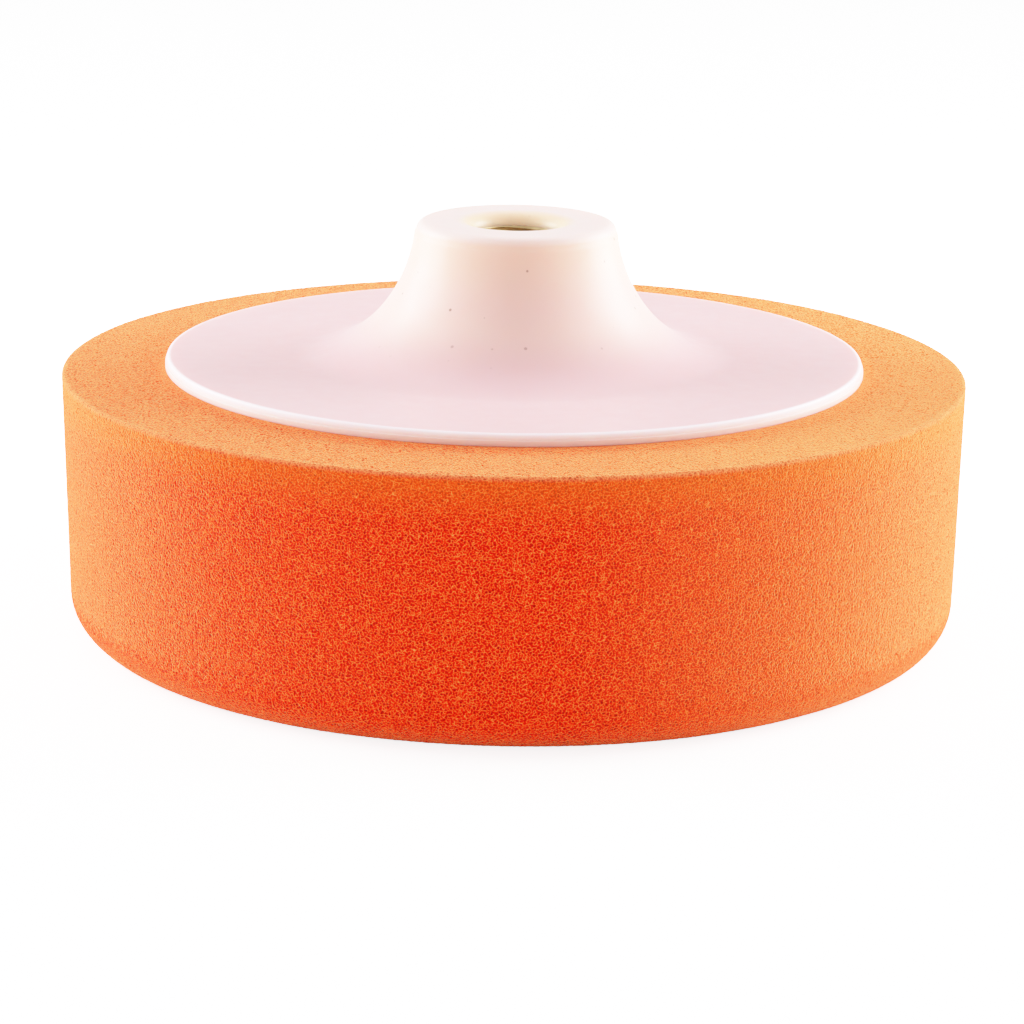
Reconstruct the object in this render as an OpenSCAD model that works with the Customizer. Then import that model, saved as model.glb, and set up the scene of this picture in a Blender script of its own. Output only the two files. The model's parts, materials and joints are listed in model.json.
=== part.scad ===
// Foam polishing pad, bonded to a moulded backing plate with a threaded insert.
// Z is the spindle axis, and the foam's working face lies on z = 0, facing down.
// From the floor up: foam pad, glue film, backing plate with its hub, and the
// insert that the hub was moulded around.

/* [Foam pad] */
// Diameter at the upper edge
foam_d = 150; // [140:1:200]
// Height of the foam
foam_h = 44; // [25:1:60]
// How far the side draws in from the upper edge to the lower one
foam_draft = 0.8; // [0:0.1:3]
// Rounding of the working face's edge
lower_round = 7; // [2:0.5:12]
// Rounding of the upper edge
upper_round = 0.5; // [0.5:0.1:3]

/* [Backing plate] */
// Diameter of the plate
plate_d = 116; // [96:1:130]
// Thickness of the plate at its rim
plate_t = 2; // [1.6:0.1:4]
// Rounding of the rim's upper edge
rim_round = 0.4; // [0.2:0.1:0.8]
// Height of the hub above the plate
hub_h = 22.3; // [20:0.1:30]
// Diameter of the hub at its top
hub_top_d = 33.2; // [30:0.2:40]
// Rounding of the hub's upper edge
hub_round = 1.6; // [0.5:0.1:2.5]
// How far the flare spreads past the hub's top before it meets the plate
flare_reach = 20.4; // [12:0.2:26]
// Diameter of the flared mouth above the thread, where it meets the hub's top
mouth_d = 19.8; // [17.5:0.1:22]
// Depth of the mouth
mouth_depth = 2.2; // [1.5:0.1:3]

/* [Threaded insert] */
// Nominal diameter of the spindle thread
thread_d = 14; // [12:1:14]
// Pitch of the spindle thread
thread_pitch = 2; // [1.5:0.25:2]
// Length of the insert
insert_len = 20; // [14:0.5:20]
// Diameter over the knurled bands
insert_d = 20; // [18:0.5:22]
// Depth of the groove that keeps the insert from pulling out
waist_depth = 1.4; // [0.8:0.1:2]
// Number of flutes around each knurled band
flute_count = 24; // [12:2:32]

/* [Glue] */
// Thickness of the film under the plate
film_t = 0.3; // [0.2:0.1:0.6]
// How far the film stays inside the plate's edge
film_inset = 0.5; // [0:0.1:3]
// Number of ring grooves that key the glue to the plate
key_count = 4; // [1:1:4]
// Width of each key groove
key_w = 1.6; // [1:0.1:2.5]
// Depth of each key groove
key_depth = 0.5; // [0.3:0.1:0.6]

/* [Hidden] */

$fn = 96;
arc_steps = 8;            // segments in a small rounded edge
flare_steps = 28;         // segments in the hub's flare
eps = 0.01;               // overlap of cutting tools past a face they stop at
cut_past = 1;             // length of cutting tools past a face they go through

foam_r = foam_d / 2;
foot_r = foam_r - foam_draft;
plate_r = plate_d / 2;
film_r = plate_r - film_inset;
plate_z0 = foam_h + film_t;
plate_z1 = plate_z0 + plate_t;
hub_z = plate_z1 + hub_h;
hub_r = hub_top_d / 2;
flare_r = hub_r + flare_reach;
flare_h = hub_h + hub_round;      // height of the quarter ellipse behind the flare
insert_r = insert_d / 2;
web_min = 1;                      // least plastic left under the insert
insert_h = min(insert_len, hub_h + plate_t - mouth_depth - web_min);
insert_z1 = hub_z - mouth_depth;
insert_z0 = insert_z1 - insert_h;
minor_per_pitch = 0.54127;        // thread depth for each mm of pitch, 60 degree form
thread_minor_r = thread_d / 2 - minor_per_pitch * thread_pitch;
lead_clear = 0.1;                 // how far the lead-in chamfer opens past the thread's diameter
lead_r = thread_d / 2 + lead_clear;
lead_h = lead_r - thread_minor_r;
mouth_r = mouth_d / 2;
waist_share = 0.2;                // length of the plain waist, as a share of the insert's
waist_len = insert_h * waist_share;
waist_r = insert_r - waist_depth;
waist_z = insert_z0 + (insert_h - waist_len) / 2;
flute_r = 0.9;
flute_depth = 0.45;
flute_at = insert_r - flute_depth + flute_r;
flute_fn = 24;
key_first_share = 0.45;           // the innermost key groove's place, as a share of the plate's radius
key_margin = 6;                   // from the outermost key groove to the plate's edge
key_first_r = plate_r * key_first_share;
key_last_r = plate_r - key_margin;
key_step = key_count > 1 ? (key_last_r - key_first_r) / (key_count - 1) : 0;

// Points of a circular or elliptical arc, from angle a0 to a1.
function arc(cx, cy, rx, ry, a0, a1, steps) =
    [for (i = [0:steps]) let (a = a0 + (a1 - a0) * i / steps) [cx + rx * cos(a), cy + ry * sin(a)]];

// A flat ring of height h between two radii.
module ring(r_in, r_out, h) {
    difference() {
        cylinder(r = r_out, h = h);
        translate([0, 0, -eps]) cylinder(r = r_in, h = h + 2 * eps);
    }
}

// A foam disc: slightly drawn in towards the working face, rounded at both edges.
module foam_pad() {
    color("orangered")
    rotate_extrude()
    polygon(concat(
        [[0, 0]],
        arc(foot_r - lower_round, lower_round, lower_round, lower_round, -90, 0, arc_steps),
        arc(foam_r - upper_round, foam_h - upper_round, upper_round, upper_round, 0, 90, arc_steps),
        [[0, foam_h]]
    ));
}

// One of the ring grooves in the plate's underside, h deep above z = plate_z0.
module key_ring(i, h) {
    r = key_first_r + i * key_step;
    translate([0, 0, plate_z0]) ring(r - key_w / 2, r + key_w / 2, h);
}

// The cured glue: a thin disc with ridges where it filled the key grooves.
module glue_film() {
    color("khaki")
    union() {
        translate([0, 0, foam_h]) cylinder(r = film_r, h = film_t);
        for (i = [0:key_count - 1]) key_ring(i, key_depth);
    }
}

// The insert without its hole: two fluted bands with a plain waist between them.
module insert_body() {
    difference() {
        translate([0, 0, insert_z0]) cylinder(r = insert_r, h = insert_h);
        translate([0, 0, waist_z]) ring(waist_r, insert_r + cut_past, waist_len);
        for (i = [0:flute_count - 1])
            rotate([0, 0, i * 360 / flute_count])
            translate([flute_at, 0, insert_z0 - cut_past])
            cylinder(r = flute_r, h = insert_h + 2 * cut_past, $fn = flute_fn);
    }
}

// The metal insert, bored to the thread's minor diameter, with a lead-in chamfer.
module threaded_insert() {
    color("goldenrod")
    difference() {
        insert_body();
        translate([0, 0, insert_z0 - eps]) cylinder(r = thread_minor_r, h = insert_h + 2 * eps);
        translate([0, 0, insert_z1 - lead_h]) cylinder(r1 = thread_minor_r, r2 = lead_r, h = lead_h);
    }
}

// Plate, flare and hub as one moulding, before anything is cut out of it.
module plate_blank() {
    rotate_extrude()
    polygon(concat(
        [[0, plate_z0], [plate_r, plate_z0]],
        arc(plate_r - rim_round, plate_z1 - rim_round, rim_round, rim_round, 0, 90, arc_steps),
        // the flare is a quarter ellipse, tangent to the plate and upright at the top
        [for (p = arc(flare_r, plate_z1 + flare_h, flare_reach, flare_h, -90, -180, flare_steps))
            if (p[1] < hub_z - hub_round) p],
        arc(hub_r - hub_round, hub_z - hub_round, hub_round, hub_round, 0, 90, arc_steps),
        [[0, hub_z]]
    ));
}

// The mouth above the thread: its wall curves out like the bell of a trumpet.
module mouth_tool() {
    bell = arc(mouth_r, insert_z1, mouth_r - lead_r, mouth_depth, 180, 90, arc_steps);
    rotate_extrude()
    polygon(concat(
        [[0, insert_z1 - eps], [lead_r, insert_z1 - eps]],
        bell,
        [[mouth_r, hub_z + cut_past], [0, hub_z + cut_past]]
    ));
}

// The moulded plate, closed under the insert by a thin web.
module backing_plate() {
    color("mistyrose")
    difference() {
        plate_blank();
        insert_body();
        mouth_tool();
        translate([0, 0, insert_z0]) cylinder(r = thread_minor_r, h = insert_h);
        for (i = [0:key_count - 1]) key_ring(i, key_depth);
    }
}

foam_pad();
glue_film();
backing_plate();
threaded_insert();
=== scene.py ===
"""Looks of a foam polishing pad: foam disc, glue film, moulded backing plate and threaded insert.

Sizes are in metres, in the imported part's frame: Z is the spindle axis and the foam stands on z = 0.
"""
import json
import math

import bpy
import numpy as np
from mathutils import Matrix, Vector


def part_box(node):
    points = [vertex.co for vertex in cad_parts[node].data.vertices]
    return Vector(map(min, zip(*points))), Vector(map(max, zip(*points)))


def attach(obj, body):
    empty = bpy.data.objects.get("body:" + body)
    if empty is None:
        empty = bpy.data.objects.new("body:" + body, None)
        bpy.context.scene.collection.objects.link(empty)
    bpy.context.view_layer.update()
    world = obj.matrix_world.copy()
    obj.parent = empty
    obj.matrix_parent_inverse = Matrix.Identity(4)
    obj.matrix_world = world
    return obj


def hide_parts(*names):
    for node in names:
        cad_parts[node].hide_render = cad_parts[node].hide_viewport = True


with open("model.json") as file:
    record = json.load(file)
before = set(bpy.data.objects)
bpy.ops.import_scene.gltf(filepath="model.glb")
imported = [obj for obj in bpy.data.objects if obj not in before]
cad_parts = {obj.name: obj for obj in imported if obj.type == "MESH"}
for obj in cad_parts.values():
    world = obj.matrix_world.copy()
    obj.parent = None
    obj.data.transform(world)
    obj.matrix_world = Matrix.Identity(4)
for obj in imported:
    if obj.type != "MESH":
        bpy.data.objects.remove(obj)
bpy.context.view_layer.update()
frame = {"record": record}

MM = 0.001
TURN = 2 * math.pi

# ---- sizes read from the frame ----
foam_lo, foam_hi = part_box("foam_pad")
plate_lo, plate_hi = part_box("backing_plate")
film_lo, film_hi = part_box("glue_film")
insert_lo, insert_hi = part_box("threaded_insert")
mounts = {m["name"]: m for m in frame["record"]["mounts"]}
thread = mounts["spindle_thread"]["dims"]

foam_r = foam_hi.x
foam_h = foam_hi.z
plate_r = plate_hi.x
plate_z0 = plate_lo.z
hub_z = plate_hi.z
insert_z0 = insert_lo.z
insert_z1 = insert_hi.z
thread_minor_r = thread["r_mm"] * MM

# ---- foam ----
foam_draft = 0.8 * MM
foam_lower_round = 7 * MM
foam_upper_round = 0.5 * MM
foam_waviness = 0.35 * MM
foam_columns = 1536
cell_size = 0.54 * MM
small_cell_size = 0.42 * MM
cell_depth = 0.16 * MM
wall_share = 0.34          # distance from a cell's wall to its deepest point, in cells
swell_w = 4 * MM           # the foam swells up to the plate over this width
rim_band_w = 1.5 * MM        # the foam is a deeper orange about this far past the plate
hair = 0.02 * MM           # keeps the swell clear of the plate and the film

# ---- plate and hub, as in the design ----
plate_t = 2.0 * MM
seam_z = 1.0 * MM          # height of the mould's parting step on the rim
seam_step = 0.3 * MM
rim_round = 0.35 * MM
hub_r = 16.6 * MM
hub_h = hub_z - plate_z0 - plate_t
hub_round = 1.6 * MM
flare_reach = 20.4 * MM
mouth_r = 9.9 * MM
gate_turn = -62            # where the plate was filled from, in degrees from the front
gate_w = 1.6 * MM
key_count = 4
key_w = 1.6 * MM
key_depth = 0.5 * MM
key_first_r = plate_r * 0.45
key_last_r = plate_r - 6 * MM

# ---- insert, as in the design ----
thread_r = 7 * MM
thread_pitch = 2 * MM
thread_steps = 16          # rows of the mesh in each pitch
lead_r = thread_r + 0.1 * MM
insert_r = 10 * MM
insert_h = insert_z1 - insert_z0
waist_r = insert_r - 1.4 * MM
waist_len = insert_h / 5
waist_z = insert_z0 + (insert_h - waist_len) / 2
flute_count = 24
flute_r = 0.9 * MM
flute_at = insert_r + 0.45 * MM
turned_columns = 384
insert_columns = 288


# ------------------------------------------------------------------ mesh tools

def arc(centre_r, centre_z, radius_r, radius_z, start, end, steps):
    """Points of an elliptical arc in the (r, z) plane, angles in degrees."""
    points = []
    for i in range(steps + 1):
        a = math.radians(start + (end - start) * i / steps)
        points.append((centre_r + radius_r * math.cos(a), centre_z + radius_z * math.sin(a)))
    return points


def line(start, end, spacing):
    """Points from start up to but not including end, about spacing apart."""
    length = math.dist(start, end)
    steps = max(1, round(length / spacing))
    return [
        (start[0] + (end[0] - start[0]) * i / steps, start[1] + (end[1] - start[1]) * i / steps)
        for i in range(steps)
    ]


def mesh_object(name, points, faces):
    mesh = bpy.data.meshes.new(name)
    mesh.from_pydata(points, [], faces)
    mesh.validate()
    mesh.update()
    piece = bpy.data.objects.new(name, mesh)
    bpy.context.scene.collection.objects.link(piece)
    return piece


def smooth(piece, angle_degrees=None):
    piece.data.polygons.foreach_set("use_smooth", [True] * len(piece.data.polygons))
    if angle_degrees is not None:
        piece.data.set_sharp_from_angle(angle=math.radians(angle_degrees))


def bridge(here, there):
    """Faces between two rings of points, where one may have a whole number of times the points of
    the other."""
    few, many = sorted((len(here), len(there)))
    share = many // few
    faces = []
    for i in range(few):
        j = (i + 1) % few
        if share == 1:
            faces.append((here[i], here[j], there[j], there[i]))
        elif len(here) == many:
            fan = [here[k % many] for k in range(i * share, (i + 1) * share + 1)]
            faces += [(a, b, there[i]) for a, b in zip(fan, fan[1:])]
            faces.append((fan[-1], there[j], there[i]))
        else:
            fan = [there[k % many] for k in range(i * share, (i + 1) * share + 1)]
            faces += [(here[i], b, a) for a, b in zip(fan, fan[1:])]
            faces.append((here[i], here[j], fan[-1]))
    return faces


def turned(name, outline, columns, least_step=0.0):
    """A surface of revolution, with the solid on the left of its outline. An end on the axis is
    closed. Rings have half as many points wherever they would be closer than least_step."""
    points = []
    faces = []
    rings = []
    for r, z in outline:
        count = 1 if r == 0 else columns
        while count > 24 and TURN * r / count < least_step:
            count //= 2
        first = len(points)
        turns = [TURN * i / count for i in range(count)]
        points += [(r * math.cos(a), r * math.sin(a), z) for a in turns]
        rings.append(list(range(first, first + count)))
    for here, there in zip(rings, rings[1:]):
        faces += bridge(here, there)
    return mesh_object(name, points, faces)


# ------------------------------------------------------------------ node tools

def node(tree, kind, inputs=None, **settings):
    """Adds a node. inputs maps a socket's name or number to a value or to another node's output."""
    made = tree.nodes.new(kind)
    for key, value in settings.items():
        setattr(made, key, value)
    for key, value in (inputs or {}).items():
        if isinstance(value, bpy.types.NodeSocket):
            tree.links.new(value, made.inputs[key])
        else:
            made.inputs[key].default_value = value
    return made


def maths(tree, operation, a, b=0.0, c=0.0):
    return node(tree, "ShaderNodeMath", {0: a, 1: b, 2: c}, operation=operation).outputs[0]


def length_of(tree, a, b):
    """Length of a line that reaches a one way and b the other."""
    squares = maths(tree, "ADD", maths(tree, "MULTIPLY", a, a), maths(tree, "MULTIPLY", b, b))
    return maths(tree, "SQRT", squares)


def ramp(tree, factor, stops):
    """A colour ramp. stops are (position, colour) pairs."""
    made = node(tree, "ShaderNodeValToRGB", {"Fac": factor})
    elements = made.color_ramp.elements
    while len(elements) > 1:
        elements.remove(elements[-1])
    for i, (position, colour) in enumerate(stops):
        element = elements[0] if i == 0 else elements.new(position)
        element.position = position
        element.color = (*colour, 1)
    return made.outputs["Color"]


def mix_colour(tree, factor, a, b):
    """Colour a where factor is 0, colour b where it is 1."""
    made = node(tree, "ShaderNodeMix", data_type="RGBA")
    for socket, value in zip((made.inputs[0], made.inputs[6], made.inputs[7]), (factor, a, b)):
        if isinstance(value, bpy.types.NodeSocket):
            tree.links.new(value, socket)
        else:
            socket.default_value = (*value, 1) if isinstance(value, tuple) else value
    return made.outputs[2]


def map_range(tree, value, low, high, to_low=0.0, to_high=1.0, interpolation="LINEAR"):
    return node(
        tree,
        "ShaderNodeMapRange",
        {"Value": value, "From Min": low, "From Max": high, "To Min": to_low, "To Max": to_high},
        interpolation_type=interpolation,
    ).outputs["Result"]


def new_material(name):
    """A material with its tree emptied down to one shader, and that tree and shader."""
    material = bpy.data.materials.new(name)
    material.use_nodes = True
    tree = material.node_tree
    tree.nodes.clear()
    shader = node(tree, "ShaderNodeBsdfPrincipled")
    node(tree, "ShaderNodeOutputMaterial", {"Surface": shader.outputs["BSDF"]})
    return material, tree, shader


def radius_and_height(tree):
    """Distance from the spindle axis and height, from Object coordinates."""
    where = node(tree, "ShaderNodeTexCoord").outputs["Object"]
    parts = node(tree, "ShaderNodeSeparateXYZ", {0: where})
    x, y, z = parts.outputs
    return where, length_of(tree, x, y), z


# ------------------------------------------------------------------ materials

def cell_pattern(tree, where):
    """Height of the foam's skin from 0, deep in a cell, to 1, on a strand between cells. Small cells
    lie among the large ones. The same nodes press the cells into the mesh and colour them."""
    strands = []
    for size in (cell_size, small_cell_size):
        cells = node(tree, "ShaderNodeTexVoronoi", {"Vector": where, "Scale": 1 / size, "Randomness": 1.0},
                     feature="DISTANCE_TO_EDGE")
        strands.append(map_range(tree, cells.outputs["Distance"], 0.0, wall_share, 0.5, 0.0))
    return maths(tree, "ADD", strands[0], strands[1])


def orange_foam(name, sheen, deepening):
    """Open-cell foam: pale strands over deep red hollows, with a bloom where it is seen aslant."""
    material, tree, shader = new_material(name)
    skin = node(tree, "ShaderNodeAttribute", attribute_name="skin").outputs["Vector"]
    where, radius, height = radius_and_height(tree)
    pattern = cell_pattern(tree, skin)
    # the foam's own orange, with painted shade deep in the hollows and a painted highlight on the strands
    colour = ramp(tree, pattern, [
        (0.20, (0.30, 0.0003, 0.0001)),
        (0.42, (0.60, 0.001, 0.0001)),
        (0.62, (1.0, 0.010, 0.0004)),
        (0.82, (1.0, 0.042, 0.003)),
        (0.92, (1.0, 0.130, 0.020)),
        (1.0, (1.0, 0.320, 0.090)),
    ])
    colour = mix_colour(tree, deepening, colour, (1.0, 0.045, 0.006))
    # painted light: the right side is lighter, where more light falls on it
    across = node(tree, "ShaderNodeSeparateXYZ", {0: where}).outputs[0]
    right_side_light = map_range(tree, across, 0.05 * foam_r, 0.7 * foam_r, 0.0, 0.20, "SMOOTHSTEP")
    colour = mix_colour(tree, right_side_light, colour, (1.0, 0.22, 0.045))
    # painted light: the side is lighter orange towards the upper edge, where more light falls
    upper = map_range(tree, height, foam_h - 9 * MM, foam_h, 0.0, 0.22, "SMOOTHSTEP")
    on_side = map_range(tree, height, foam_h - 1.0 * MM, foam_h - 0.4 * MM, 1.0, 0.0, "SMOOTHSTEP")
    upper = maths(tree, "MULTIPLY", upper, on_side)
    colour = mix_colour(tree, upper, colour, (1.0, 0.17, 0.01))
    # painted highlight along the upper edge, where loose strands catch the light
    off_r = maths(tree, "SUBTRACT", radius, foam_r)
    off_z = maths(tree, "SUBTRACT", height, foam_h)
    edge = map_range(tree, length_of(tree, off_r, off_z), 0.1 * MM, 1.0 * MM, 0.6, 0.0, "SMOOTHSTEP")
    edge = maths(tree, "MULTIPLY", edge, map_range(tree, pattern, 0.3, 0.8, 0.4, 1.0))
    colour = mix_colour(tree, edge, colour, (1.0, 0.30, 0.10))
    tree.links.new(colour, shader.inputs["Base Color"])
    shader.inputs["Roughness"].default_value = 0.92
    shader.inputs["Specular IOR Level"].default_value = 0.04
    shader.inputs["Sheen Weight"].default_value = sheen
    shader.inputs["Sheen Roughness"].default_value = 0.36
    shader.inputs["Sheen Tint"].default_value = (1.0, 1.0, 0.34, 1)
    bump = node(tree, "ShaderNodeBump", {"Height": pattern, "Distance": cell_depth, "Strength": 0.9})
    tree.links.new(bump.outputs["Normal"], shader.inputs["Normal"])
    return material


def milky_plastic():
    """White moulding that lets light a little way in, with a faint satin ripple and stray specks."""
    material, tree, shader = new_material("milky_plastic")
    where, radius, height = radius_and_height(tree)
    plate_z1 = plate_z0 + plate_t
    clouds = node(tree, "ShaderNodeTexNoise", {"Vector": where, "Scale": 0.035 / MM, "Detail": 4.0})
    # painted light: the disc is pinker than the hub, tinted by the orange foam's glow through and under it
    disc = ramp(tree, clouds.outputs["Fac"], [(0.3, (0.715, 0.360, 0.385)), (0.7, (0.735, 0.380, 0.405))])
    hub = ramp(tree, clouds.outputs["Fac"], [(0.3, (0.86, 0.510, 0.450)), (0.7, (0.88, 0.540, 0.475))])
    up_hub = map_range(tree, height, plate_z1 + 0.5 * MM, plate_z1 + 9 * MM, 0.0, 1.0, "SMOOTHSTEP")
    base = mix_colour(tree, up_hub, disc, hub)
    # painted shade and glow: the upper wall turns tan, and the wall of the mouth more so, where the brass
    # shows faintly through and the foam's orange light falls
    tan_shade = map_range(tree, height, hub_z - 12 * MM, hub_z - 3 * MM, 0.0, 0.6, "SMOOTHSTEP")
    base = mix_colour(tree, tan_shade, base, (0.86, 0.57, 0.40))
    # painted light: the top ring faces the light and is kept cooler and pinker, clear of the painted shade
    # below
    crown = map_range(tree, height, hub_z - 1.8 * MM, hub_z - 0.3 * MM, 0.0, 1.0, "SMOOTHSTEP")
    base = mix_colour(tree, crown, base, (0.82, 0.575, 0.545))
    mouth_shade = map_range(tree, radius, mouth_r - 2 * MM, mouth_r + 0.5 * MM, 1.0, 0.0, "SMOOTHSTEP")
    mouth_shade = maths(tree, "MULTIPLY", mouth_shade, map_range(tree, height, insert_z0, insert_z1))
    base = mix_colour(tree, mouth_shade, base, (0.93, 0.56, 0.36))
    # painted light on the thin rim: lit pale at the top, and tinted orange near the foam by the foam's glow
    near_foam = map_range(tree, height, plate_z0 + 0.7 * MM, plate_z1, 1.0, 0.0, "SMOOTHSTEP")
    at_rim = map_range(tree, radius, plate_r - 1.0 * MM, plate_r - 0.4 * MM)
    rim = mix_colour(tree, near_foam, (1.0, 0.76, 0.86), (1.0, 0.57, 0.50))
    base = mix_colour(tree, at_rim, base, rim)
    # stray dark specks in the hub
    specks = node(tree, "ShaderNodeTexVoronoi", {"Vector": where, "Scale": 0.33 / MM, "Randomness": 1.0})
    dot = map_range(tree, specks.outputs["Distance"], 0.07, 0.11, 0.8, 0.0)
    rare = node(tree, "ShaderNodeSeparateColor", {0: specks.outputs["Color"]}).outputs[0]
    rare = maths(tree, "MULTIPLY", map_range(tree, rare, 0.24, 0.26), up_hub)
    rare = maths(tree, "MULTIPLY", rare, maths(tree, "SUBTRACT", 1.0, crown))
    base = mix_colour(tree, maths(tree, "MULTIPLY", dot, rare), base, (0.24, 0.13, 0.10))
    tree.links.new(base, shader.inputs["Base Color"])
    ripple = node(tree, "ShaderNodeTexNoise", {"Vector": where, "Scale": 0.3 / MM, "Detail": 3.0})
    rough = map_range(tree, ripple.outputs["Fac"], 0.3, 0.7, 0.30, 0.42)
    tree.links.new(rough, shader.inputs["Roughness"])
    shader.inputs["Specular IOR Level"].default_value = 0.2
    shader.inputs["Subsurface Weight"].default_value = 0.6
    shader.inputs["Subsurface Radius"].default_value = (1.0, 0.55, 0.4)
    shader.inputs["Subsurface Scale"].default_value = 7 * MM
    bump = node(tree, "ShaderNodeBump",
                {"Height": ripple.outputs["Fac"], "Distance": 0.02 * MM, "Strength": 0.25})
    tree.links.new(bump.outputs["Normal"], shader.inputs["Normal"])
    return material


def turned_brass():
    """Brass with fine tool marks round the axis."""
    material, tree, shader = new_material("turned_brass")
    where, radius, height = radius_and_height(tree)
    marks = node(tree, "ShaderNodeCombineXYZ", {0: radius, 2: height}).outputs[0]
    lines = node(tree, "ShaderNodeTexNoise", {"Vector": marks, "Scale": 9 / MM, "Detail": 2.0})
    tarnish = node(tree, "ShaderNodeTexNoise", {"Vector": where, "Scale": 0.25 / MM, "Detail": 4.0})
    base = ramp(tree, tarnish.outputs["Fac"], [(0.35, (0.45, 0.29, 0.13)), (0.65, (0.70, 0.50, 0.25))])
    tree.links.new(base, shader.inputs["Base Color"])
    rough = map_range(tree, lines.outputs["Fac"], 0.3, 0.7, 0.24, 0.42)
    tree.links.new(rough, shader.inputs["Roughness"])
    shader.inputs["Metallic"].default_value = 1.0
    bump = node(tree, "ShaderNodeBump",
                {"Height": lines.outputs["Fac"], "Distance": 0.01 * MM, "Strength": 0.5})
    tree.links.new(bump.outputs["Normal"], shader.inputs["Normal"])
    return material


def cured_glue():
    """Amber glue, a little cloudy, with trapped bubbles."""
    material, tree, shader = new_material("cured_glue")
    where, radius, height = radius_and_height(tree)
    clouds = node(tree, "ShaderNodeTexNoise", {"Vector": where, "Scale": 0.12 / MM, "Detail": 4.0})
    base = ramp(tree, clouds.outputs["Fac"], [(0.3, (0.62, 0.26, 0.09)), (0.7, (0.80, 0.42, 0.18))])
    bubbles = node(tree, "ShaderNodeTexVoronoi", {"Vector": where, "Scale": 0.7 / MM})
    pale = map_range(tree, bubbles.outputs["Distance"], 0.12, 0.2, 0.6, 0.0)
    base = mix_colour(tree, pale, base, (0.85, 0.62, 0.38))
    tree.links.new(base, shader.inputs["Base Color"])
    rough = map_range(tree, clouds.outputs["Fac"], 0.3, 0.7, 0.3, 0.5)
    tree.links.new(rough, shader.inputs["Roughness"])
    bump = node(tree, "ShaderNodeBump",
                {"Height": bubbles.outputs["Distance"], "Distance": 0.05 * MM, "Strength": 0.5})
    tree.links.new(bump.outputs["Normal"], shader.inputs["Normal"])
    return material


# ------------------------------------------------------------------ geometry node tools

def new_tree(name, sizes):
    """A tree with a geometry input and output, and one named input for each size."""
    tree = bpy.data.node_groups.new(name, "GeometryNodeTree")
    tree.interface.new_socket("Geometry", in_out="INPUT", socket_type="NodeSocketGeometry")
    tree.interface.new_socket("Geometry", in_out="OUTPUT", socket_type="NodeSocketGeometry")
    for label, value in sizes.items():
        kind = "NodeSocketInt" if isinstance(value, int) else "NodeSocketFloat"
        tree.interface.new_socket(label, in_out="INPUT", socket_type=kind).default_value = value
    return tree, node(tree, "NodeGroupInput").outputs


def ending(tree, geometry, material):
    """Closes a tree: one plain mesh, with its material."""
    whole = node(tree, "GeometryNodeRealizeInstances", {0: geometry})
    painted = node(tree, "GeometryNodeSetMaterial", {"Geometry": whole.outputs[0], "Material": material})
    return painted.outputs[0]


def grown(piece, tree):
    """Applies a Geometry Nodes tree to a piece and leaves it a plain mesh."""
    modifier = piece.modifiers.new(tree.name, "NODES")
    modifier.node_group = tree
    for item in tree.interface.items_tree:
        if item.in_out == "INPUT" and item.socket_type != "NodeSocketGeometry":
            modifier[item.identifier] = item.default_value
    graph = bpy.context.evaluated_depsgraph_get()
    mesh = bpy.data.meshes.new_from_object(piece.evaluated_get(graph), depsgraph=graph)
    piece.modifiers.remove(modifier)
    piece.data = mesh
    return piece


def own_radius(tree):
    """Position of a point, its parts, and its distance from the spindle axis."""
    here = node(tree, "GeometryNodeInputPosition").outputs[0]
    x, y, z = node(tree, "ShaderNodeSeparateXYZ", {0: here}).outputs
    flat = node(tree, "ShaderNodeCombineXYZ", {0: x, 1: y}).outputs[0]
    radius = node(tree, "ShaderNodeVectorMath", {0: flat}, operation="LENGTH").outputs["Value"]
    return here, x, y, z, radius


# ------------------------------------------------------------------ foam

def foam_outline(spacing):
    """Outline of the foam from the middle of the working face to the middle of the top."""
    foot_r = foam_r - foam_draft
    low = foam_lower_round
    high = foam_upper_round
    lower = arc(foot_r - low, low, low, low, -90, 0, 38)
    upper = arc(foam_r - high, foam_h - high, high, high, 0, 90, 4)
    crest_z = plate_z0 - hair
    outer_slope = []
    for t in np.linspace(0, 1, 14).tolist():
        rise = (1 - math.cos(math.pi * t)) / 2
        outer_slope.append((plate_r + swell_w * (1 - t), foam_h + (crest_z - foam_h) * rise))
    tucked = [(film_hi.x + hair, crest_z), (film_hi.x + hair, foam_h)]
    return (line((0, 0), lower[0], 1.3 * spacing) + lower[:-1] + line(lower[-1], upper[0], spacing)
            + upper[:-1] + line(upper[-1], outer_slope[0], spacing) + outer_slope + tucked
            + line((film_hi.x - 2 * MM, foam_h), (0, foam_h), 8 * MM) + [(0, foam_h)])


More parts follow.
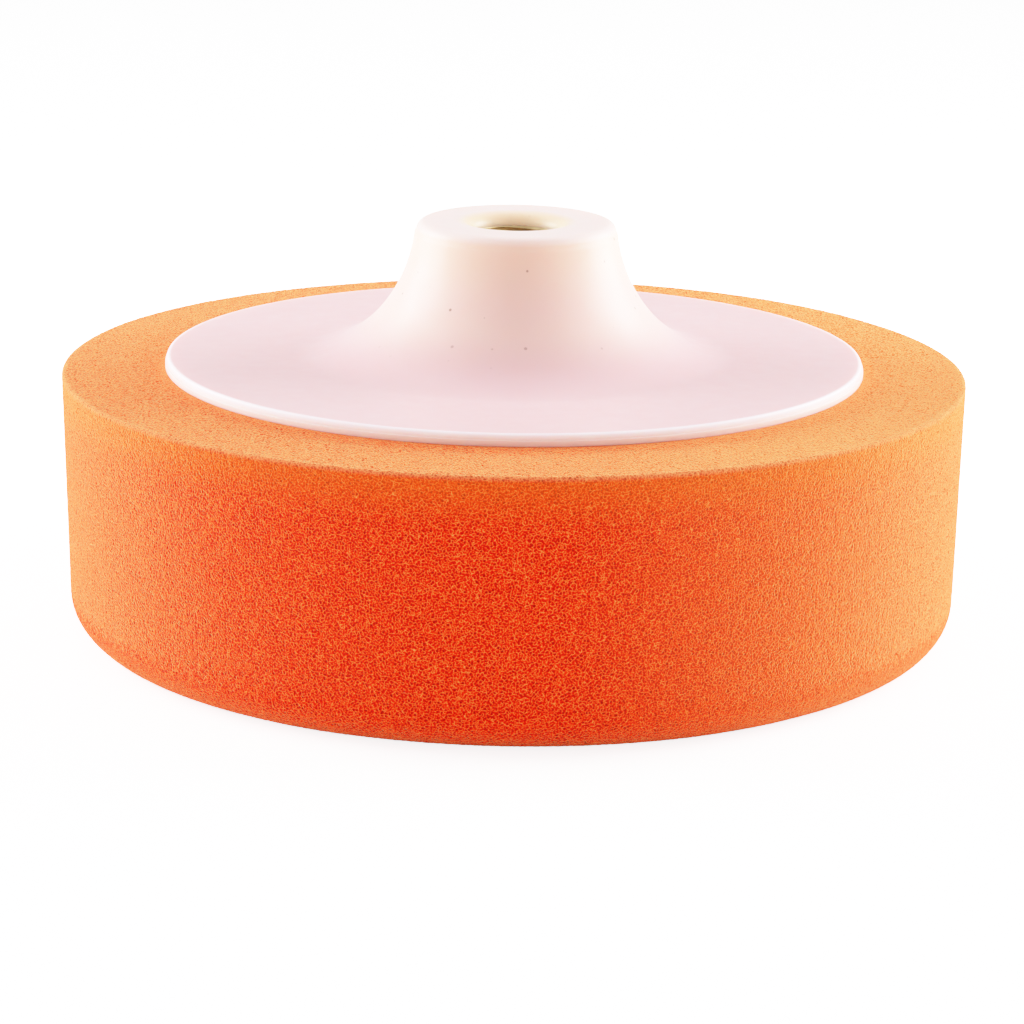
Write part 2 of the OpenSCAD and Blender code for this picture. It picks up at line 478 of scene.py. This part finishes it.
def foam_cells_tree(side_foam, top_foam, rim_band_foam, foot_foam):
    """Presses the foam's cells and its slight waviness into the skin of a plain disc."""
    tree, given = new_tree("foam_cells", {
        "Cell depth": cell_depth, "Waviness": foam_waviness, "Plate radius": plate_r, "Top": foam_h,
        "Rim band width": rim_band_w, "Foot height": foam_lower_round,
    })
    here, x, y, z, radius = own_radius(tree)
    normal = node(tree, "GeometryNodeInputNormal").outputs[0]
    kept = node(tree, "GeometryNodeStoreNamedAttribute", {"Geometry": given["Geometry"], "Name": "skin"},
                data_type="FLOAT_VECTOR", domain="POINT")
    tree.links.new(here, kept.inputs["Value"])
    hollow = maths(tree, "SUBTRACT", 1.0, cell_pattern(tree, here))
    wave = node(tree, "ShaderNodeTexNoise", {"Vector": here, "Scale": 0.02 / MM, "Detail": 2.0})
    wave = maths(tree, "MULTIPLY", maths(tree, "SUBTRACT", wave.outputs["Fac"], 0.5), given["Waviness"])
    lift = maths(tree, "SUBTRACT", wave, maths(tree, "MULTIPLY", hollow, given["Cell depth"]))
    # nothing moves where the plate covers the foam, and nothing sinks through the working face
    past_plate = maths(tree, "SUBTRACT", radius, given["Plate radius"])
    open_air = map_range(tree, past_plate, 0.1 * MM, 1.5 * MM)
    below_top = maths(tree, "LESS_THAN", z, maths(tree, "SUBTRACT", given["Top"], 0.01 * MM))
    inside = maths(tree, "LESS_THAN", past_plate, 0.0)
    low = maths(tree, "LESS_THAN", z, maths(tree, "MULTIPLY", given["Top"], 0.5))
    free = maths(tree, "MAXIMUM", open_air, maths(tree, "MULTIPLY", below_top, low))
    lift = maths(tree, "MULTIPLY", lift, free)
    above_floor = map_range(tree, z, 0.0, 3 * MM, 0.0, foam_waviness)
    lift = maths(tree, "MINIMUM", lift, above_floor)
    offset = node(tree, "ShaderNodeVectorMath", {0: normal, "Scale": lift}, operation="SCALE").outputs[0]
    moved = node(tree, "GeometryNodeSetPosition", {"Geometry": kept.outputs[0], "Offset": offset})
    painted = ending(tree, moved.outputs[0], side_foam)
    # the cut top has less bloom than the side
    cut = maths(tree, "GREATER_THAN", z, maths(tree, "SUBTRACT", given["Top"], 0.3 * MM))
    painted = node(tree, "GeometryNodeSetMaterial",
                   {"Geometry": painted, "Selection": cut, "Material": top_foam}).outputs[0]
    # a ragged band of the top next to the plate is a deeper orange
    creep = node(tree, "ShaderNodeTexNoise",
                 {"Vector": here, "Scale": 0.35 / MM, "Detail": 4.0, "Roughness": 0.7})
    creep = map_range(tree, creep.outputs["Fac"], 0.3, 0.7, 0.2, 2.0)
    creep = maths(tree, "MULTIPLY", creep, given["Rim band width"])
    on_top = maths(tree, "GREATER_THAN", z, maths(tree, "SUBTRACT", given["Top"], 0.5 * MM))
    rim_band = maths(tree, "MULTIPLY", maths(tree, "LESS_THAN", past_plate, creep), on_top)
    painted = node(tree, "GeometryNodeSetMaterial",
                   {"Geometry": painted, "Selection": rim_band, "Material": rim_band_foam}).outputs[0]
    # the foot has less bloom than the side
    ragged = node(tree, "ShaderNodeTexNoise", {"Vector": here, "Scale": 1.5 / MM, "Detail": 2.0})
    ragged = map_range(tree, ragged.outputs["Fac"], 0.3, 0.7, 0.7, 1.2)
    foot = maths(tree, "LESS_THAN", z, maths(tree, "MULTIPLY", ragged, given["Foot height"]))
    painted = node(tree, "GeometryNodeSetMaterial",
                   {"Geometry": painted, "Selection": foot, "Material": foot_foam}).outputs[0]
    node(tree, "NodeGroupOutput", {0: painted})
    return tree


foam_spacing = TURN * foam_r / foam_columns
foam = turned("foam_disc", foam_outline(foam_spacing), foam_columns, 0.6 * foam_spacing)
foam = grown(foam, foam_cells_tree(
    orange_foam("orange_foam", sheen=0.74, deepening=0.0),
    orange_foam("cut_foam", sheen=0.52, deepening=0.0),
    # deeper orange foam for the ragged band beside the plate
    orange_foam("rim_band_foam", sheen=0.5, deepening=0.3),
    orange_foam("foot_foam", sheen=0.3, deepening=0.0),
))
smooth(foam)
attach(foam, "root")
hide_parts("foam_pad")


# ------------------------------------------------------------------ plate and hub

def key_radii():
    """Radii of the ring grooves in the plate's underside, outermost last."""
    step = (key_last_r - key_first_r) / (key_count - 1)
    return [key_first_r + i * step for i in range(key_count)]


def key_outline(radii):
    """The four corners of each key groove or ridge, in the order of radii."""
    points = []
    for r in radii:
        side = key_w / 2 if radii[0] > radii[-1] else -key_w / 2
        points += [(r + side, plate_z0), (r + side, plate_z0 + key_depth), (r - side, plate_z0 + key_depth),
                   (r - side, plate_z0)]
    return points


def plate_outline():
    z0 = plate_z0
    z1 = plate_z0 + plate_t
    upper_r = plate_r - seam_step
    foot = arc(plate_r - 0.15 * MM, z0 + 0.15 * MM, 0.15 * MM, 0.15 * MM, -90, 0, 4)
    step = arc(plate_r - 0.12 * MM, z0 + seam_z - 0.12 * MM, 0.12 * MM, 0.12 * MM, 0, 90, 4)
    fillet = arc(upper_r + 0.1 * MM, z0 + seam_z + 0.1 * MM, 0.1 * MM, 0.1 * MM, -90, -180, 3)
    edge = arc(upper_r - rim_round, z1 - rim_round, rim_round, rim_round, 0, 90, 8)
    flare_h = hub_h + hub_round
    flare = arc(hub_r + flare_reach, z1 + flare_h, flare_reach, flare_h, -90, -180, 64)
    flare = [p for p in flare if p[1] < hub_z - hub_round]
    crown = arc(hub_r - hub_round, hub_z - hub_round, hub_round, hub_round, 0, 90, 10)
    mouth = arc(mouth_r, insert_z1, mouth_r - lead_r, hub_z - insert_z1, 90, 180, 20)
    seat = [(insert_r, insert_z1), (insert_r, waist_z + waist_len), (waist_r, waist_z + waist_len),
            (waist_r, waist_z), (insert_r, waist_z), (insert_r, insert_z0)]
    return ([(0, z0)] + key_outline(key_radii()) + foot + step + fillet + edge
            + line(edge[-1], flare[0], 2 * MM)[1:] + flare + crown + mouth + seat + [(0, insert_z0)])


def flutes(tree, geometry):
    """Nodes that press the flutes into whatever lies on the insert's outer radius."""
    here, x, y, z, radius = own_radius(tree)
    turn = maths(tree, "DIVIDE", maths(tree, "ARCTAN2", y, x), TURN / flute_count)
    turn = maths(tree, "SUBTRACT", maths(tree, "FRACT", maths(tree, "ADD", turn, 0.5)), 0.5)
    turn = maths(tree, "MULTIPLY", turn, TURN / flute_count)
    across = maths(tree, "MULTIPLY", maths(tree, "SINE", turn), flute_at)
    inside = maths(tree, "SUBTRACT", flute_r * flute_r, maths(tree, "MULTIPLY", across, across))
    reach = maths(tree, "SQRT", maths(tree, "MAXIMUM", inside, 0.0))
    pressed = maths(tree, "SUBTRACT", maths(tree, "MULTIPLY", maths(tree, "COSINE", turn), flute_at), reach)
    pressed = maths(tree, "MINIMUM", pressed, insert_r)
    scale = maths(tree, "DIVIDE", pressed, radius)
    to = node(tree, "ShaderNodeCombineXYZ",
              {0: maths(tree, "MULTIPLY", x, scale), 1: maths(tree, "MULTIPLY", y, scale), 2: z}).outputs[0]
    on_band = maths(tree, "COMPARE", radius, insert_r, 0.01 * MM)
    on_band = maths(tree, "MULTIPLY", on_band, maths(tree, "GREATER_THAN", inside, 0.0))
    moved = node(tree, "GeometryNodeSetPosition",
                 {"Geometry": geometry, "Selection": on_band, "Position": to})
    return moved.outputs[0]


def plate_tree(plastic):
    """Presses the insert's flutes into the seat inside the hub, and leaves a nub at the gate."""
    tree, given = new_tree("plate_seat_and_gate", {"Gate width": gate_w, "Gate height": 0.12 * MM})
    seated = flutes(tree, given["Geometry"])
    here, x, y, z, radius = own_radius(tree)
    turn = math.radians(gate_turn)
    gate = (plate_r * math.sin(turn), -plate_r * math.cos(turn), plate_z0 + seam_z)
    away = node(tree, "ShaderNodeVectorMath", {0: here, 1: gate}, operation="DISTANCE").outputs["Value"]
    half_w = maths(tree, "MULTIPLY", given["Gate width"], 0.5)
    nub = map_range(tree, maths(tree, "DIVIDE", away, half_w), 0.4, 1.0, 1.0, 0.0, "SMOOTHSTEP")
    lift = maths(tree, "MULTIPLY", nub, given["Gate height"])
    offset = node(tree, "ShaderNodeVectorMath", {0: (math.sin(turn), -math.cos(turn), 0), "Scale": lift},
                  operation="SCALE").outputs[0]
    moved = node(tree, "GeometryNodeSetPosition", {"Geometry": seated, "Offset": offset})
    node(tree, "NodeGroupOutput", {0: ending(tree, moved.outputs[0], plastic)})
    return tree


plate = turned("backing_moulding", plate_outline(), turned_columns)
plate = grown(plate, plate_tree(milky_plastic()))
smooth(plate, 40)
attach(plate, "root")
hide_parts("backing_plate")


# ------------------------------------------------------------------ threaded insert

def insert_outline():
    """The insert's outside, from the lower rim of its hole round to the upper one."""
    return [(lead_r, insert_z0), (insert_r, insert_z0), (insert_r, waist_z), (waist_r, waist_z),
            (waist_r, waist_z + waist_len), (insert_r, waist_z + waist_len), (insert_r, insert_z1),
            (lead_r, insert_z1)]


def thread_tree(brass):
    """Adds the helical thread to the insert's outside, and presses in the flutes. A grid is sheared
    by one pitch, rolled into a tube and given the thread's profile."""
    tree, given = new_tree("insert_thread", {
        "Pitch": thread_pitch, "Major radius": thread_r, "Minor radius": thread_minor_r,
        "Lead radius": lead_r, "Lowest": insert_z0, "Highest": insert_z1,
    })
    length = maths(tree, "SUBTRACT", given["Highest"], given["Lowest"])
    tall = maths(tree, "ADD", length, given["Pitch"])
    rows = round((insert_h / thread_pitch + 1) * thread_steps) + 1
    grid = node(tree, "GeometryNodeMeshGrid",
                {"Size X": TURN, "Size Y": tall, "Vertices X": insert_columns + 1, "Vertices Y": rows})
    here = node(tree, "GeometryNodeInputPosition").outputs[0]
    across, along, unused = node(tree, "ShaderNodeSeparateXYZ", {0: here}).outputs
    turn = maths(tree, "ADD", across, TURN / 2)
    row_z = maths(tree, "ADD", along, maths(tree, "MULTIPLY", tall, 0.5))
    row_z = maths(tree, "SUBTRACT", row_z, given["Pitch"])
    phase = maths(tree, "DIVIDE", row_z, given["Pitch"])
    from_root = maths(tree, "ABSOLUTE", maths(tree, "SUBTRACT", maths(tree, "FRACT", phase), 0.5))
    # a 60 degree thread: roots an eighth of the pitch wide, crests a quarter
    profile = node(tree, "ShaderNodeMapRange", {
        "Value": from_root, "From Min": 1 / 16, "From Max": 6 / 16,
        "To Min": given["Major radius"], "To Max": given["Minor radius"],
    })
    rise = maths(tree, "MULTIPLY", maths(tree, "DIVIDE", turn, TURN), given["Pitch"])
    up = maths(tree, "ADD", row_z, rise)
    up = maths(tree, "MINIMUM", maths(tree, "MAXIMUM", up, 0.0), length)
    from_end = maths(tree, "MINIMUM", up, maths(tree, "SUBTRACT", length, up))
    cone = maths(tree, "SUBTRACT", given["Lead radius"], from_end)
    radius = maths(tree, "MAXIMUM", profile.outputs["Result"], cone)
    to = node(tree, "ShaderNodeCombineXYZ", {
        0: maths(tree, "MULTIPLY", radius, maths(tree, "COSINE", turn)),
        1: maths(tree, "MULTIPLY", radius, maths(tree, "SINE", turn)),
        2: maths(tree, "ADD", up, given["Lowest"]),
    }).outputs[0]
    rolled = node(tree, "GeometryNodeSetPosition", {"Geometry": grid.outputs["Mesh"], "Position": to})
    facing_in = node(tree, "GeometryNodeFlipFaces", {0: rolled.outputs[0]})
    joined = node(tree, "GeometryNodeJoinGeometry")
    tree.links.new(facing_in.outputs[0], joined.inputs[0])
    tree.links.new(flutes(tree, given["Geometry"]), joined.inputs[0])
    welded = node(tree, "GeometryNodeMergeByDistance",
                  {"Geometry": joined.outputs[0], "Distance": 0.002 * MM})
    node(tree, "NodeGroupOutput", {0: ending(tree, welded.outputs[0], brass)})
    return tree


insert = turned("threaded_bush", insert_outline(), insert_columns)
insert = grown(insert, thread_tree(turned_brass()))
smooth(insert, 25)
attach(insert, "root")
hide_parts("threaded_insert")


# ------------------------------------------------------------------ glue film

def glue_outline():
    """The film with its ridges, where glue filled the plate's key grooves."""
    edge = arc(film_hi.x - 0.15 * MM, (foam_h + plate_z0) / 2, 0.15 * MM, (plate_z0 - foam_h) / 2, -90, 90, 6)
    return ([(0, foam_h)] + line((8 * MM, foam_h), edge[0], 4 * MM) + edge + key_outline(key_radii()[::-1])
            + [(0, plate_z0)])


def creep_tree(glue):
    """Lets the edge of the film run in and out."""
    tree, given = new_tree("glue_creep", {"Creep": 0.5 * MM, "Film radius": film_hi.x})
    here, x, y, z, radius = own_radius(tree)
    creep = node(tree, "ShaderNodeTexNoise", {"Vector": here, "Scale": 0.12 / MM, "Detail": 3.0})
    creep = map_range(tree, creep.outputs["Fac"], 0.3, 0.7, 0.0, 1.0)
    at_edge = maths(tree, "SUBTRACT", radius, maths(tree, "SUBTRACT", given["Film radius"], 1 * MM))
    at_edge = map_range(tree, at_edge, 0.0, 0.8 * MM)
    back = maths(tree, "MULTIPLY", maths(tree, "MULTIPLY", creep, at_edge), given["Creep"])
    scale = maths(tree, "DIVIDE", back, radius)
    offset = node(tree, "ShaderNodeCombineXYZ", {
        0: maths(tree, "MULTIPLY", maths(tree, "MULTIPLY", x, scale), -1.0),
        1: maths(tree, "MULTIPLY", maths(tree, "MULTIPLY", y, scale), -1.0),
    }).outputs[0]
    moved = node(tree, "GeometryNodeSetPosition", {"Geometry": given["Geometry"], "Offset": offset})
    node(tree, "NodeGroupOutput", {0: ending(tree, moved.outputs[0], glue)})
    return tree


glue = turned("glue_layer", glue_outline(), turned_columns)
glue = grown(glue, creep_tree(cured_glue()))
smooth(glue, 40)
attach(glue, "root")
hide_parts("glue_film")


# ------------------------------------------------------------------ stage

def studio_floor():
    material, tree, shader = new_material("studio_floor")
    shader.inputs["Base Color"].default_value = (0.9, 0.9, 0.9, 1)
    shader.inputs["Roughness"].default_value = 0.8
    shader.inputs["Specular IOR Level"].default_value = 0.0
    shader.inputs["Emission Color"].default_value = (1, 1, 1, 1)
    seen = node(tree, "ShaderNodeLightPath").outputs["Is Camera Ray"]
    tree.links.new(maths(tree, "MULTIPLY", seen, 2.0), shader.inputs["Emission Strength"])
    return material


floor_half = 3.0
floor_corners = [(x * floor_half, y * floor_half, 0) for x, y in ((-1, -1), (1, -1), (1, 1), (-1, 1))]
floor = mesh_object("floor", floor_corners, [(0, 1, 2, 3)])
floor.data.materials.append(studio_floor())


def softbox(name, azimuth, elevation, distance, width, height, power):
    """A soft panel aimed at the pad. Azimuth 0 is in front, 90 on the right."""
    lamp = bpy.data.lights.new(name, "AREA")
    lamp.shape = "RECTANGLE"
    lamp.size = width
    lamp.size_y = height
    lamp.energy = power
    holder = bpy.data.objects.new(name, lamp)
    bpy.context.scene.collection.objects.link(holder)
    a, e = math.radians(azimuth), math.radians(elevation)
    out = Vector((math.sin(a) * math.cos(e), -math.cos(a) * math.cos(e), math.sin(e)))
    middle = Vector((0, 0, foam_h))
    holder.location = middle + out * distance
    holder.rotation_euler = out.to_track_quat("Z", "Y").to_euler()


softbox("left_panel", -106, 14, 0.7, 0.5, 0.5, 21.0)
softbox("right_panel", 110, 14, 0.7, 0.5, 0.5, 23.0)
softbox("top_panel", 180, 60, 0.9, 0.7, 0.5, 4.0)

world_light = 1.38
world_seen = 6.0           # strength of the backdrop, which only the camera sees
world = bpy.data.worlds.new("studio")
bpy.context.scene.world = world
world.use_nodes = True
world_tree = world.node_tree
world_tree.nodes.clear()
seen = node(world_tree, "ShaderNodeLightPath").outputs["Is Camera Ray"]
strength = map_range(world_tree, seen, 0.0, 1.0, world_light, world_seen)
sky = node(world_tree, "ShaderNodeBackground", {"Color": (1, 1, 1, 1), "Strength": strength})
node(world_tree, "ShaderNodeOutputWorld", {"Surface": sky.outputs[0]})


# ------------------------------------------------------------------ camera

camera_lens = 126.2        # millimetres, on a 36 mm film
camera_distance = 0.6
camera_elevation = math.radians(12.563)
camera_tilt = math.radians(2.332)
camera_roll = math.radians(0.859)


def place_camera():
    """Stands in front, a little above, and points camera_tilt below the middle of the foam's top."""
    data = bpy.data.cameras.new("camera")
    data.sensor_width = 36
    data.lens = camera_lens
    data.clip_start = 0.01
    data.clip_end = 20
    camera = bpy.data.objects.new("camera", data)
    bpy.context.scene.collection.objects.link(camera)
    away = camera_distance * math.cos(camera_elevation)
    up = camera_distance * math.sin(camera_elevation)
    camera.location = (0, -away, foam_h + up)
    pitch = math.pi / 2 - camera_elevation - camera_tilt
    aim = Matrix.Rotation(pitch, 4, "X") @ Matrix.Rotation(camera_roll, 4, "Z")
    camera.rotation_euler = aim.to_euler()
    bpy.context.scene.camera = camera


place_camera()


def film_curve():
    """A camera-like shoulder, so that bright parts roll off to white."""
    settings = bpy.context.scene.view_settings
    settings.view_transform = "Standard"
    settings.use_curve_mapping = True
    mapping = settings.curve_mapping
    reach = 5.0
    mapping.white_level = (reach, reach, reach)
    curve = mapping.curves[3]
    for share in (0.02, 0.05, 0.1, 0.17, 0.27, 0.4, 0.6):
        curve.points.new(share, 1 - math.exp(-share * reach))
    mapping.update()


film_curve()
